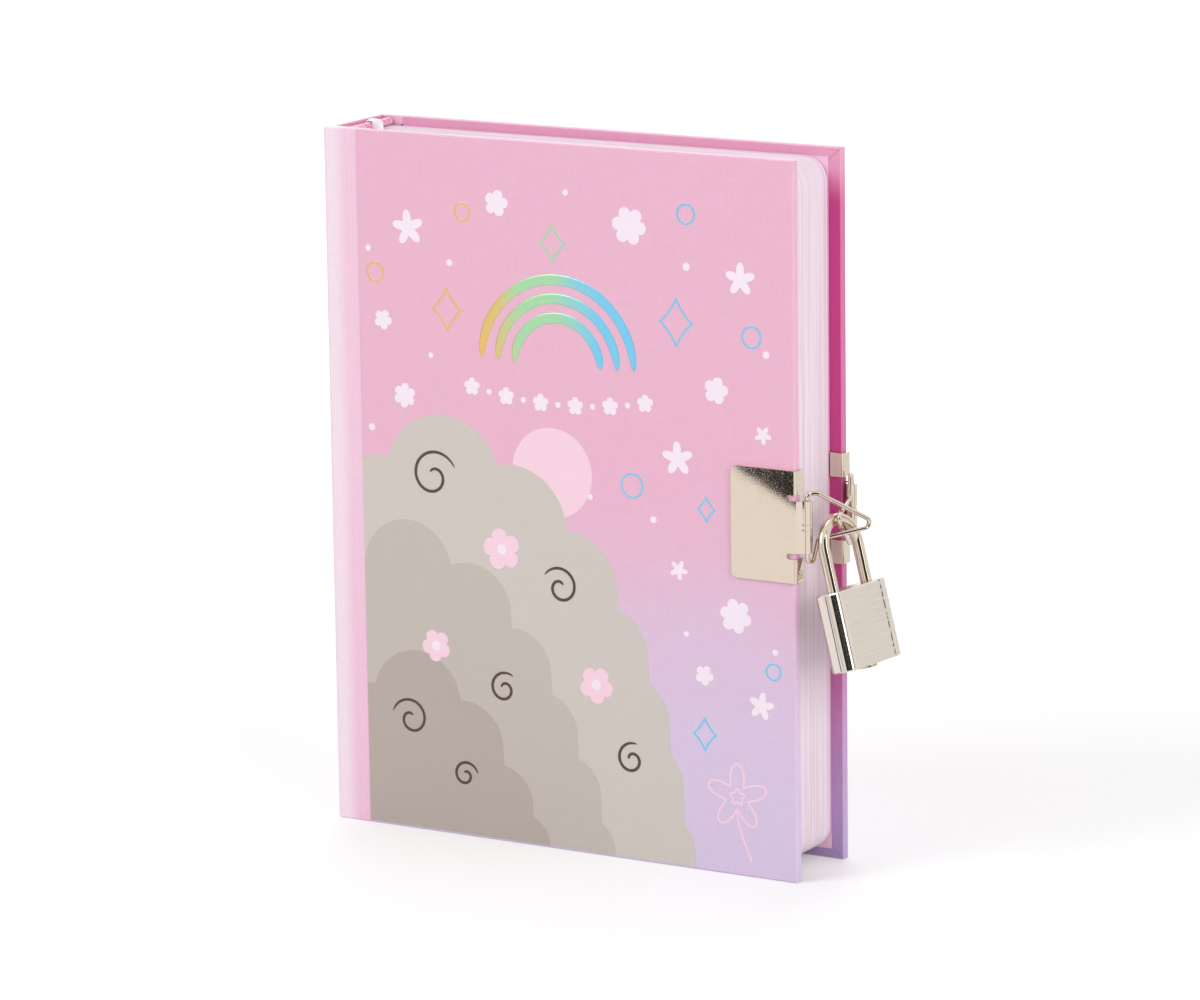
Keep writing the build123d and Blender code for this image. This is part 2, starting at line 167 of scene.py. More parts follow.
class DiaryMetal(bpy.types.PropertyGroup):
    """Colours and sizes of the clasp, the bails and the padlock."""
    nickel: colour("Nickel", "Clasp plates and bails", (220, 205, 188))
    steel: colour("Steel", "Padlock case", (225, 215, 204))
    plug: colour("Plug", "Key plug", (196, 184, 160))
    face: length("Face", "Width of the padlock's flat face", 17.4)
    plate_dull: FloatProperty(name="Plate dullness", description="Roughness of the plates", default=0.01)
    wire_dull: FloatProperty(name="Wire dullness", description="Roughness of the wires", default=0.04)


class DiaryStage(bpy.types.PropertyGroup):
    """Camera and light."""
    azimuth: angle("Azimuth", "Camera's angle from straight in front, towards the fore-edge", 30.516)
    elevation: angle("Elevation", "Camera's angle above the horizon", 12.109)
    roll: angle("Roll", "Camera's turn in its own view", -0.779)
    place: FloatVectorProperty(name="Place", description="Camera's place", subtype="TRANSLATION", size=3,
                               default=(0.77038, -1.18690, 0.38372), unit="LENGTH")
    focal: FloatProperty(name="Focal length", description="In widths of the picture", default=4.67967)
    key: FloatProperty(name="Key", description="Strength of the large lamp, in watts", default=9.9)
    fill: FloatProperty(name="Fill", description="Strength of the lamp on the fore-edge's side", default=10.7)
    top: FloatProperty(name="Top", description="Strength of the lamp overhead, in watts", default=4.2)
    back: FloatProperty(name="Back", description="Strength of the lamp behind, in watts", default=6.0)
    sky: FloatProperty(name="Sky", description="Strength of the even light", default=0.465)


# Meshes

def grid(points, close_u=False, close_v=False, flip=False):
    """Points and quads of a grid points[u, v], given in millimetres."""
    points = np.asarray(points, float) * MM
    count_u, count_v = points.shape[:2]
    index = np.arange(count_u * count_v).reshape(count_u, count_v)
    index = np.vstack([index, index[:1]]) if close_u else index
    index = np.hstack([index, index[:, :1]]) if close_v else index
    corners = [index[:-1, :-1], index[1:, :-1], index[1:, 1:], index[:-1, 1:]]
    quads = np.stack(corners, -1).reshape(-1, 4)
    return points.reshape(-1, 3), quads[:, ::-1] if flip else quads


def solid(name, grids, smooth=True):
    """Grids as one mesh object in metres, with the points that meet merged, so that poles are closed.

    The attribute rest keeps each point's place at rest.
    """
    starts = np.cumsum([0] + [len(points) for points, _ in grids])
    points = np.vstack([points for points, _ in grids])
    quads = np.vstack([quads + start for (_, quads), start in zip(grids, starts)])
    mesh = bpy.data.meshes.new(name)
    mesh.from_pydata(points.tolist(), [], quads.tolist())
    merged = bmesh.new()
    merged.from_mesh(mesh)
    bmesh.ops.remove_doubles(merged, verts=merged.verts, dist=MERGE)
    merged.to_mesh(mesh)
    merged.free()
    mesh.polygons.foreach_set("use_smooth", np.full(len(mesh.polygons), smooth))
    places = np.empty(3 * len(mesh.vertices), np.float32)
    mesh.vertices.foreach_get("co", places)
    rest = mesh.attributes.new("rest", "FLOAT_VECTOR", "POINT")
    rest.data.foreach_set("vector", places)
    mesh.update()
    thing = bpy.data.objects.new(name, mesh)
    bpy.context.scene.collection.objects.link(thing)
    return thing


def circle(t):
    """The unit circle (cos t, sin t)."""
    return np.stack([np.cos(t), np.sin(t)], 1)


def rounded(corners, radii, steps=8):
    """Plane path through corners, each inner one rounded to its radius: points p + r (cos t, sin t)."""
    corners = np.asarray(corners, float)
    path = [corners[:1]]
    for before, corner, after, radius in zip(corners[:-2], corners[1:-1], corners[2:], radii):
        back = (before - corner) / np.linalg.norm(before - corner)
        on = (after - corner) / np.linalg.norm(after - corner)
        half = math.acos(np.clip(back @ on, -1, 1)) / 2
        middle = (back + on) / np.linalg.norm(back + on)
        centre = corner + middle * radius / math.sin(half)
        first = corner + back * radius / math.tan(half) - centre
        last = corner + on * radius / math.tan(half) - centre
        start = math.atan2(first[1], first[0])
        sweep = (math.atan2(last[1], last[0]) - start + math.pi) % FULL_TURN - math.pi
        turn = start + sweep * np.linspace(0, 1, steps)
        path.append(centre + radius * circle(turn))
    path.append(corners[-1:])
    return np.vstack(path)


def on_cover(flat, depth):
    """Plane points (x, z) placed in front of the front cover, at y = depth."""
    return np.stack([flat[..., 0], np.broadcast_to(depth, flat.shape[:2]), flat[..., 1]], -1)


def skirted(count, stand_off):
    """The depths of a print's rows: all stand off the cover, and one more drops into the paper."""
    return np.append(np.full(count, -HALF - stand_off), -HALF + stand_off)


def patch(outline, centre, stand_off, rings=4):
    """A printed patch on the front cover: centre + t (outline - centre), t from 0 to 1.

    Its last ring drops into the paper, so that the patch has an edge.
    """
    outline = np.asarray(outline, float)
    share = np.append(np.linspace(0, 1, rings), 1.0)
    flat = np.asarray(centre, float) + share[:, None, None] * (outline - centre)
    return grid(on_cover(flat, skirted(rings, stand_off)[:, None]), close_v=True)


def stroke(path, width, stand_off, closed=False, taper=0.0, crown=0.0):
    """A printed line along path: C(s) + w(s) k N(s), k from -1 to 1, thinner at both ends by taper.

    With a crown the middle stands prouder than the edges, as pressed foil does: h (1 - k^2).
    """
    path = np.asarray(path, float)
    tangent = np.roll(path, -1, 0) - np.roll(path, 1, 0) if closed else np.gradient(path, axis=0)
    tangent /= np.linalg.norm(tangent, axis=1, keepdims=True)
    normal = np.stack([-tangent[:, 1], tangent[:, 0]], 1)
    along = np.linspace(-1, 1, len(path))
    half = width / 2 * np.sqrt(np.maximum(1 - taper * along ** 8, 1e-4))
    cross = np.array([-1, -1, -0.8, -0.45, 0, 0.45, 0.8, 1, 1])
    flat = path[:, None, :] + cross[None, :, None] * (half[:, None] * normal)[:, None, :]
    rise = stand_off + crown * (1 - cross ** 2)
    rise[[0, -1]] = -stand_off
    return grid(on_cover(flat, -HALF - rise), close_u=closed)


def bank(circles, floor, first, stand_off, count=420):
    """A bank of clouds: z from the floor up to the highest of its circles (x_i, z_i, r_i).

    A circle's height is z_i + sqrt(r_i^2 - (x - x_i)^2), and x ends where the last one meets the floor.
    """
    rows = 5
    middle, height, radius = np.asarray(circles, float).T[..., None]
    last = (middle + np.sqrt(radius ** 2 - np.maximum(floor - height, 0) ** 2)).max()
    x = np.linspace(first, last - 0.01, count)
    rise = np.maximum(radius ** 2 - (x - middle) ** 2, 0)
    top = np.where(rise > 0, height + np.sqrt(rise), floor).max(0)
    share = np.append(np.linspace(0, 1, rows), 1.0)
    z = floor + share[None, :] * (top - floor)[:, None]
    flat = np.stack([np.broadcast_to(x[:, None], z.shape), z], -1)
    return grid(on_cover(flat, skirted(rows, stand_off)))


def rounded_power(wave, power):
    """sign(w) |w|^p of a sine or cosine, which squares a circle off for p < 1 and pinches it for p > 1."""
    return np.sign(wave) * np.abs(wave) ** power


def star(radius, lobes, depth, power=1.0, count=120, turn=0.0):
    """Polar outline r(t) = R (1 - d (1 - |cos(n t / 2)|^p)), a star or a flower by its power."""
    t = np.linspace(0, FULL_TURN, count, endpoint=False)
    r = radius * (1 - depth * (1 - np.abs(np.cos(lobes * (t - turn) / 2)) ** power))
    return np.stack([-r * np.sin(t), r * np.cos(t)], 1)


# Materials

class Finish:
    """One node material, with short calls for its nodes."""

    def __init__(self, name):
        self.material = bpy.data.materials.new(name)
        self.material.use_nodes = True
        self.tree = self.material.node_tree
        self.tree.nodes.clear()
        self.output = self.node("ShaderNodeOutputMaterial")
        self.shader = self.node("ShaderNodeBsdfPrincipled")
        self.tree.links.new(self.shader.outputs[0], self.output.inputs[0])

    def node(self, kind, fields=None, **settings):
        """A node with its settings, and its sockets set or linked by name or number."""
        new = self.tree.nodes.new(kind)
        for key, value in settings.items():
            setattr(new, key, value)
        for key, value in (fields or {}).items():
            self.put(new, key, value)
        return new

    def put(self, node, key, value):
        """Links a socket into a node's input, or sets its value."""
        if isinstance(value, bpy.types.NodeSocket):
            self.tree.links.new(value, node.inputs[key])
        elif isinstance(value, tuple) and len(value) == 3 and len(node.inputs[key].default_value) == 4:
            node.inputs[key].default_value = (*value, 1)
        else:
            node.inputs[key].default_value = value

    def set(self, **values):
        """Sets or links the shader's own sockets; an underscore stands for a space."""
        for key, value in values.items():
            self.put(self.shader, key.replace("_", " "), value)

    def rest(self, own=False):
        """Where a point lies on the piece at rest, in metres: object place, or the piece's own attribute."""
        if own:
            return self.node("ShaderNodeAttribute", attribute_name="rest").outputs["Vector"]
        return self.node("ShaderNodeTexCoord").outputs["Object"]

    def axes(self, place):
        """The three parts of a vector."""
        return self.node("ShaderNodeSeparateXYZ", {0: place}).outputs

    def math(self, operation, first, second=0.0, third=0.0):
        """One sum."""
        return self.node("ShaderNodeMath", {0: first, 1: second, 2: third}, operation=operation).outputs[0]

    def times(self, first, second):
        """One product."""
        return self.math("MULTIPLY", first, second)

    def off(self, value, middle):
        """How far a value is from a middle, either way."""
        return self.math("ABSOLUTE", self.math("SUBTRACT", value, middle))

    def inverted(self, share):
        """One less a share."""
        return self.math("SUBTRACT", 1.0, share)

    def ramp(self, value, low, high):
        """0 to 1 along an S curve as value goes from low to high."""
        return self.node("ShaderNodeMapRange", {0: value, 1: low, 2: high},
                         interpolation_type="SMOOTHSTEP").outputs[0]

    def mix(self, share, first, second, blend="MIX"):
        """Two colours mixed by share."""
        new = self.node("ShaderNodeMix", data_type="RGBA", blend_type=blend)
        self.put(new, 0, share)
        self.put(new, 6, first)
        self.put(new, 7, second)
        return new.outputs[2]

    def noise(self, place, scale, detail=3.0, stretch=(1.0, 1.0, 1.0), rough=0.5):
        """Even noise from 0 to 1; stretch multiplies the place first."""
        if stretch != (1.0, 1.0, 1.0):
            place = self.node("ShaderNodeVectorMath", {0: place, 1: stretch}, operation="MULTIPLY").outputs[0]
        return self.node("ShaderNodeTexNoise", {"Vector": place, "Scale": scale, "Detail": detail,
                                                "Roughness": rough}).outputs[0]

    def bump(self, height, distance, strength=1.0, under=None):
        """A bump of that depth in metres, on top of another."""
        fields = {"Height": height, "Distance": distance, "Strength": strength}
        if under is not None:
            fields["Normal"] = under
        return self.node("ShaderNodeBump", fields).outputs[0]


def shaded(tone, share):
    """A colour brought down to a share of its light."""
    return tuple(value * share for value in tone)


def linen(finish, place, spacing, depth=0.00003):
    """Fine linen grain: crossed threads sin(x) and sin(z), each shifted by slow noise."""
    x, _, z = finish.axes(place)
    wander = finish.noise(place, 300.0, 2.0)
    heights = []
    for part, stretch in ((x, (1.0, 1.0, 0.12)), (z, (0.12, 1.0, 1.0))):
        phase = finish.math("MULTIPLY_ADD", part, FULL_TURN / spacing, finish.times(wander, 5.0))
        thread = finish.math("MULTIPLY_ADD", finish.math("SINE", phase), 0.5, 0.5)
        slub = finish.noise(place, 1500.0, 1.0, stretch)
        heights.append(finish.times(thread, slub))
    height = finish.math("ADD", heights[0], heights[1])
    return height, finish.bump(height, depth, 0.7)


def printed(finish, tint, height, normal, **more):
    """The gloss of printed paper, a little duller on the linen's threads."""
    rough = finish.math("MULTIPLY_ADD", height, 0.12, 0.42)
    finish.set(Base_Color=tint, Roughness=rough, Normal=normal, Specular_IOR_Level=0.35, **more)


def case_outside(finish, place, x, z):
    """The case's outer print: the head's colours turn into the tail's, and the strip is paler, with a painted
    highlight on its outer half.
    """
    paper = bpy.context.scene.diary_paper
    # the colour of the painted highlight on the strip's outer half
    pale = (0.92, 0.75, 0.84)
    cloudy = finish.math("MULTIPLY_ADD", finish.noise(place, 22.0, 2.0), 0.03, -0.015)
    fall = finish.ramp(finish.math("ADD", z, cloudy), 0.105, 0.020)
    front = finish.mix(fall, tuple(paper.head), tuple(paper.tail))
    spine = finish.mix(fall, tuple(paper.spine_head), tuple(paper.spine_tail))
    # painted highlight: the strip's outer half, where it turns away round the spine, is painted paler as if
    # lit
    spine = finish.mix(finish.ramp(x, 0.0062, 0.0016), spine, pale)
    return finish.mix(finish.math("LESS_THAN", x, paper.strip), front, spine)


def case_inside(finish, x, z):
    """The paper turned in over the boards, with painted shade: deep pink where it lies in shade and takes
    pink light from round it, lighter along the head and by the spine.
    """
    paper = bpy.context.scene.diary_paper
    # painted shade: deep pink at the head and lavender at the tail, the case paper as it looks in shade and
    # pink reflected light
    tint = finish.mix(finish.ramp(z, 0.085, 0.0), tuple(paper.inside_head), tuple(paper.inside_tail))
    # painted light: lighter along the head, where more light reaches
    head = finish.ramp(z, (HEIGHT - 15) * MM, (HEIGHT - 2) * MM)
    tint = finish.mix(head, tint, tuple(paper.turn_in_head))
    for reach, tone in ((paper.strip - 0.0016, paper.inside_strip), (0.0026, paper.inside_spine)):
        tint = finish.mix(finish.math("LESS_THAN", x, reach), tint, tuple(tone))
    return tint


def turned_in(finish, x, y, z):
    """1 on the case's inner faces. The edges are as the front, and the back's fore-edge is in between, so it
    takes part of the inside's painted shade.
    """
    deep = finish.math("LESS_THAN", finish.math("ABSOLUTE", y), (HALF - 0.35) * MM)
    spine_edge = finish.math("LESS_THAN", x, (SPINE_LOW[0] + 0.4) * MM)
    ends = finish.math("GREATER_THAN", finish.off(z, HEIGHT / 2 * MM), (HEIGHT / 2 - 0.3) * MM)
    # painted shade: the back's fore-edge takes seven tenths of the inside's shaded colour
    share = finish.math("MULTIPLY_ADD", finish.math("LESS_THAN", y, 0.0), 0.7, 0.3)
    fore_edge = finish.times(finish.math("GREATER_THAN", x, (FORE_X - 0.3) * MM), share)
    edge = finish.math("MAXIMUM", finish.math("MAXIMUM", spine_edge, ends), fore_edge)
    return finish.times(deep, finish.inverted(edge))


def cover_paper(own=False):
    """The printed case paper: pink to lavender down the front, paler on the spine, deep pink inside as
    painted shade, with a painted highlight on the strip's outer half, a painted shadow line where the strip
    ends and painted shade in the linen's hollows.
    """
    paper = bpy.context.scene.diary_paper
    # the colour of the painted shadow line where the strip ends
    strip_edge_shadow_tone = (0.5, 0.25, 0.35)
    finish = Finish("cover_paper_own" if own else "cover_paper")
    place = finish.rest(own)
    x, y, z = finish.axes(place)
    tint = finish.mix(turned_in(finish, x, y, z), case_outside(finish, place, x, z),
                      case_inside(finish, x, z))
    # painted shadow: a faint dark line where the strip ends, standing in for the shade of the fold there
    strip_edge_shadow = finish.ramp(finish.off(x, paper.strip), 0.0006, 0.0001)
    tint = finish.mix(finish.times(strip_edge_shadow, 0.12), tint, strip_edge_shadow_tone)
    height, normal = linen(finish, place, paper.thread)
    # painted shade: the paper is darkened a little in the linen's hollows, where its threads lie low
    tint = finish.mix(finish.times(finish.inverted(height), 0.10), tint, (0.0, 0.0, 0.0), "MULTIPLY")
    printed(finish, tint, height, normal, IOR=1.46)
    return finish.material


def ruled_lines(finish, x, z):
    """1 on the pages' ruled lines, which stop short of the leaves' edges."""
    lines = finish.math("PINGPONG", z, bpy.context.scene.diary_paper.rule / 2)
    ruled = finish.ramp(lines, 0.00022, 0.00008)
    for part, start, end in ((x, 16.0, 122.0), (z, 14.0, 158.0)):
        ruled = finish.times(ruled, finish.math("GREATER_THAN", part, start * MM))
        ruled = finish.times(ruled, finish.math("LESS_THAN", part, end * MM))
    return ruled


def page_edges(name, tone, spread=0.22):
    """Stacked leaves: at the edges fine streaks that run along the leaves and change from one to the next.

    The leaves' own faces are plain paper with faint ruled lines.
    """
    paper = bpy.context.scene.diary_paper
    finish = Finish(name)
    place = finish.rest()
    x, _, z = finish.axes(place)
    across = finish.axes(finish.node("ShaderNodeTexCoord").outputs["Normal"])[1]
    flat = finish.ramp(finish.math("ABSOLUTE", across), 0.5, 0.8)
    streak = finish.noise(place, 1.0 / paper.leaf / 3, 2.0, (0.012, 1.0, 0.006), 0.7)
    broad = finish.noise(place, 700.0, 2.0, (0.01, 1.0, 0.004))
    fibre = finish.noise(place, 2500.0, 3.0)
    shade = finish.math("ADD", finish.times(streak, 0.65), finish.times(broad, 0.35))
    low = tuple(value * (1 - spread) for value in tone)
    edges = finish.mix(finish.ramp(shade, 0.36, 0.62), low, tuple(tone))
    plain = finish.mix(finish.times(fibre, 0.05), tuple(tone), low)
    plain = finish.mix(finish.times(ruled_lines(finish, x, z), 0.5), plain, tuple(paper.rule_tone))
    height = finish.math("MULTIPLY_ADD", fibre, 0.2, finish.times(shade, finish.inverted(flat)))
    finish.set(Base_Color=finish.mix(flat, edges, plain), Roughness=0.85,
               Normal=finish.bump(height, 0.00008, 0.8), Specular_IOR_Level=0.2)
    return finish.material


def plain_paper(name, tone, grain=1800.0, depth=0.00002):
    """Matt paper, board or cloth with fibres and slight clouding."""
    finish = Finish(name)
    place = finish.rest()
    fibre = finish.noise(place, grain, 4.0, rough=0.65)
    cloud = finish.noise(place, 60.0, 2.0)
    share = finish.math("ADD", finish.times(fibre, 0.10), finish.times(cloud, 0.06))
    tint = finish.mix(share, tuple(tone), shaded(tone, 0.55))
    finish.set(Base_Color=tint, Roughness=0.8, Normal=finish.bump(fibre, depth, 0.8),
               Specular_IOR_Level=0.25)
    return finish.material


def ink(name, tone, darker=0.06):
    """Print on the linen paper: the colour keeps the paper's grain, with painted shade in the linen's
    hollows.
    """
    finish = Finish(name)
    place = finish.rest()
    height, normal = linen(finish, place, bpy.context.scene.diary_paper.thread)
    cloud = finish.noise(place, 45.0, 3.0)
    # painted shade: darker where the linen's threads lie low, on top of the print's own clouding
    share = finish.math("MULTIPLY_ADD", cloud, darker, finish.times(finish.inverted(height), 0.07))
    printed(finish, finish.mix(share, tuple(tone), shaded(tone, 0.5)), height, normal)
    return finish.material


def foil():
    """Pressed foil: gold to green to blue across the cover, bright, with the linen faintly through it."""
    prints = bpy.context.scene.diary_print
    finish = Finish("foil")
    place = finish.rest()
    x = finish.axes(place)[0]
    wave = finish.math("MULTIPLY_ADD", finish.noise(place, 60.0, 1.0), 0.012, x)
    tint = finish.mix(finish.ramp(wave, 0.050, 0.064), tuple(prints.gold), tuple(prints.green))
    tint = finish.mix(finish.ramp(wave, 0.070, 0.084), tint, tuple(prints.blue))
    _, normal = linen(finish, place, bpy.context.scene.diary_paper.thread, 0.00001)
    ripple = finish.noise(place, 900.0, 2.0)
    finish.set(Base_Color=tint, Roughness=finish.math("MULTIPLY_ADD", ripple, 0.15, 0.26),
               Normal=normal, Metallic=0.6)
    return finish.material


def brushed_face(finish, place, tint, dark, rough, face):
    """The padlock's flat face: fine lines across it, and painted shade as a broken near-black line along the
    groove down its far edge.

    Gives its lines, its tint and its roughness, which is near nothing on the rounded ends beyond it.
    """
    across, down, middle, half, groove = face
    groove_shade_tone = (0.05, 0.045, 0.035)
    along, drop = (finish.node("ShaderNodeVectorMath", {0: place, 1: tuple(way)},
                               operation="DOT_PRODUCT").outputs["Value"] for way in (across, down))
    lines = finish.node("ShaderNodeCombineXYZ", {0: finish.times(along, 0.04), 1: drop}).outputs[0]
    line = finish.noise(lines, 1800.0, 3.0, rough=0.7)
    from_middle = finish.math("SUBTRACT", along, middle)
    off = finish.math("ABSOLUTE", from_middle)
    here = finish.ramp(off, half + 0.0002, half - 0.0002)
    streak = finish.times(finish.ramp(line, 0.40, 0.66), finish.times(here, 0.22))
    tint = finish.mix(streak, tint, dark)
    # painted shade: a broken near-black line along the groove on the far side only, where the groove's shade
    # shows
    broken = finish.ramp(finish.noise(place, 900.0, 2.0), 0.38, 0.50)
    mark = finish.times(finish.ramp(finish.off(off, groove), 0.00036, 0.00014), broken)
    mark = finish.times(mark, finish.math("GREATER_THAN", from_middle, 0.0))
    tint = finish.mix(finish.times(mark, 0.92), tint, groove_shade_tone)
    return line, tint, finish.math("MULTIPLY_ADD", here, rough, 0.02)


def plated(name, tone, brushed=0.0, rough=0.12, face=None):
    """Nickel plate: faint mottling, fine specks and hairline scratches, or brushed lines.

    A face is its directions across and down, its middle, its half width and its groove's place.
    Only that face is brushed.
    """
    finish = Finish(name)
    place = finish.rest()
    dark = shaded(tone, 0.62)
    tint = finish.mix(finish.times(finish.noise(place, 260.0, 3.0), 0.16), tuple(tone), dark)
    if face:
        line, tint, rough = brushed_face(finish, place, tint, dark, rough, face)
    else:
        line = finish.noise(place, 3000.0 if brushed else 2200.0, 2.0)
    smear = finish.noise(place, 90.0, 2.0)
    grain = finish.noise(place, 4200.0, 1.0)
    dull = finish.math("MULTIPLY_ADD", line, 0.02 + brushed * 0.2, rough)
    dull = finish.math("MULTIPLY_ADD", smear, 0.02, dull)
    dull = finish.math("MULTIPLY_ADD", finish.ramp(grain, 0.60, 0.76), 0.12, dull)
    normal = finish.bump(smear, 0.00003, 0.12)
    normal = finish.bump(line, 0.0000015 + 0.000006 * brushed, 0.2 + 0.2 * brushed, normal)
    normal = finish.bump(grain, 0.000002, 0.25, normal)
    finish.set(Base_Color=tint, Roughness=dull, Normal=normal, Metallic=1.0)
    return finish.material


def satin(name, tone, mottle=0.0):
    """Woven satin band or ribbon: fine diagonal weave with a sheen and painted shade in its hollows, and a
    mottled cloth if asked for.
    """
    weave_width = 0.0004
    pale = (0.95, 0.75, 0.85)
    finish = Finish(name)
    place = finish.rest()
    x, y, z = finish.axes(place)
    diagonal = finish.math("ADD", finish.math("ADD", x, y), z)
    wave = finish.math("SINE", finish.times(diagonal, FULL_TURN / weave_width))
    weave = finish.math("MULTIPLY_ADD", wave, 0.5, 0.5)
    height = finish.math("MULTIPLY_ADD", finish.noise(place, 3000.0, 3.0), 0.5, weave)
    # painted shade: the cloth is darker where the weave lies low
    share = finish.times(finish.math("SUBTRACT", 1.5, height), 0.18)
    tint = finish.mix(share, tuple(tone), shaded(tone, 0.4))
    patchy = finish.ramp(finish.noise(place, 900.0, 1.0), 0.42, 0.62)
    tint = finish.mix(finish.times(patchy, mottle), tint, pale)
    finish.set(Base_Color=tint, Roughness=0.45, Normal=finish.bump(height, 0.00004, 0.8),
               Sheen_Weight=0.4)
    return finish.material


def wear(thing, material, body=None, blend=None, stands_for=()):
    """Gives a new piece its material and body, bakes its place into its points when a blend is given, and
    hides the CAD nodes that it stands for.
    """
    thing.data.materials.clear()
    thing.data.materials.append(material)
    if body:
        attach(thing, body)
    if blend:
        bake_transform(thing)
    if stands_for:
        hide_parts(*stands_for)
    return thing


def paint(material, *nodes):
    """Puts one material on CAD nodes that stay shown."""
    for name in nodes:
        mesh = frame["nodes"][name].data
        mesh.materials.clear()
        mesh.materials.append(material)


def numbered(*starts):
    """The CAD nodes whose names start so."""
    return [name for name in frame["nodes"] if name.startswith(starts)]


# Stage

def floor_paint():
    """The floor's material: it glows more away from the diary for the camera, and evenly for the metal."""
    finish = Finish("floor")
    path = finish.node("ShaderNodeLightPath").outputs
    place = finish.rest()
    reach = finish.node("ShaderNodeVectorMath", {0: place}, operation="LENGTH").outputs["Value"]
    glow = finish.math("MULTIPLY_ADD", finish.ramp(reach, 0.22, 0.9), 0.56, 0.16)
    seen = finish.math("ADD", finish.times(path["Is Camera Ray"], glow),
                       finish.times(path["Is Glossy Ray"], 0.15))
    speck = finish.times(finish.noise(place, 8.0, 2.0), 0.02)
    tint = finish.mix(speck, (0.86, 0.86, 0.865), (0.80, 0.80, 0.80))
    finish.set(Base_Color=tint, Roughness=0.9, Emission_Color=(1.0, 1.0, 1.0), Emission_Strength=seen,
               Specular_IOR_Level=0.0)
    return finish.material


def studio(strength):
    """The world: the camera and the metal see white, and all else an even light of that strength."""
    world = bpy.data.worlds.new("studio")
    world.use_nodes = True
    tree = world.node_tree
    tree.nodes.clear()
    output, even, white, both, path, most = (tree.nodes.new("ShaderNode" + kind) for kind in (
        "OutputWorld", "Background", "Background", "MixShader", "LightPath", "Math"))
    most.operation = "MAXIMUM"
    for light, value in ((even, strength), (white, 1.0)):
        light.inputs[0].default_value = (1, 1, 1, 1)
        light.inputs[1].default_value = value
    for source, target in ((path.outputs["Is Camera Ray"], most.inputs[0]),
                           (path.outputs["Is Glossy Ray"], most.inputs[1]),
                           (most.outputs[0], both.inputs[0]), (even.outputs[0], both.inputs[1]),
                           (white.outputs[0], both.inputs[2]), (both.outputs[0], output.inputs[0])):
        tree.links.new(source, target)
    return world


def card_paint():
    """Matt near-black for the cards."""
    finish = Finish("card")
    grain = finish.noise(finish.rest(), 400.0, 2.0)
    finish.set(Base_Color=finish.mix(grain, (0.02, 0.02, 0.02), (0.04, 0.04, 0.036)), Roughness=1.0,
               Specular_IOR_Level=0.0)
    return finish.material


def lying_card(place):
    """Corners of the card on the floor that the front plate's upper corner mirrors.

    The camera's image E behind the plate looks through a point P of the plate and meets the floor at
    E + (P - E) (E_z - 1) / (E_z - P_z).
    """
    low, high = at("front_clasp_plate"), at("front_clasp_plate", 1)
    eye = np.array(place) / MM * (1, -1, 1) + (0, 2 * low[1], 0)
    seen = np.array([(low[0] + 0.5, low[1], high[2] + 2), (high[0] + 12, low[1], high[2] + 2),
                     (low[0] + 1.2, low[1], high[2] - 0.6), (high[0] + 12, low[1], high[2] - 16)])
    return eye + (seen - eye) * ((eye[2] - 1.0) / (eye[2] - seen[:, 2:]))


def standing_card(turn, half, edges):
    """Corners of a card that stands on an arc of that half angle round the clasp's foot.

    Its edges are pairs of a distance from there and a height.
    """
    foot = BARREL_FRONT * (1, 1, 0)
    turn, half = math.radians(turn), math.tan(math.radians(half))
    out = np.array([math.cos(turn), math.sin(turn), 0])
    side = np.array([-math.sin(turn), math.cos(turn), 0])
    return [foot + away * out + way * half * away * side + (0, 0, z)
            for way in (-1, 1) for away, z in edges]


def set_cards(place):
    """Dark cards that only the metal sees.

    A wide one stands beside the camera, narrow ones slope up from the floor, and one lies where the
    front plate mirrors it.
    """
    sloping = ((110, 2), (420, 500))
    material = card_paint()
    for name, corners in (("card_lying", lying_card(place)),
                          ("card_wide", standing_card(-33.0, 25.0, ((420, 55), (470, 520)))),
                          ("card_side", standing_card(6.0, 4.0, sloping)),
                          ("card_front", standing_card(-98.0, 3.5, sloping))):
        card = solid(name, [grid(np.array(corners, float).reshape(2, 2, 3))], smooth=False)
        card.data.materials.append(material)
        card.visible_camera = card.visible_diffuse = False
        card.visible_shadow = card.visible_transmission = False


def hang_lamp(name, place, size, power):
    """A round lamp that faces the middle of the diary."""
    lamp = bpy.data.lights.new(name, "AREA")
    lamp.shape = "DISK"
    lamp.size = size
    lamp.energy = power
    thing = bpy.data.objects.new(name, lamp)
    thing.location = place
    way = AIM - np.array(place)
    yaw = math.atan2(way[1], way[0]) - QUARTER_TURN
    pitch = math.atan2(math.hypot(way[0], way[1]), -way[2])
    thing.rotation_euler = (pitch, 0, yaw)
    bpy.context.scene.collection.objects.link(thing)


def set_camera(stage):
    """The camera, from its angles: it looks along -(sin a cos e, -cos a cos e, sin e), rolled by r."""
    camera = bpy.data.cameras.new("camera")
    camera.sensor_fit = "HORIZONTAL"
    camera.sensor_width = SENSOR
    camera.lens = stage.focal * SENSOR
    camera.clip_start = 0.05
    camera.clip_end = 60.0
    az, el, roll = stage.azimuth, stage.elevation, stage.roll
    ahead = -np.array([math.sin(az) * math.cos(el), -math.cos(az) * math.cos(el), math.sin(el)])
    right = np.cross(ahead, (0, 0, 1))
    right /= np.linalg.norm(right)
    up = np.cross(right, ahead)
    matrix = np.eye(4)
    matrix[:3, 0] = right * math.cos(roll) + up * math.sin(roll)
    matrix[:3, 1] = up * math.cos(roll) - right * math.sin(roll)
    matrix[:3, 2] = -ahead
    matrix[:3, 3] = stage.place
    thing = bpy.data.objects.new("camera", camera)
    thing.matrix_world = Matrix(matrix)
    bpy.context.scene.collection.objects.link(thing)
    bpy.context.scene.camera = thing


# Operators

class Build:
    """What every operator here shares."""
    bl_options = {"REGISTER", "UNDO"}


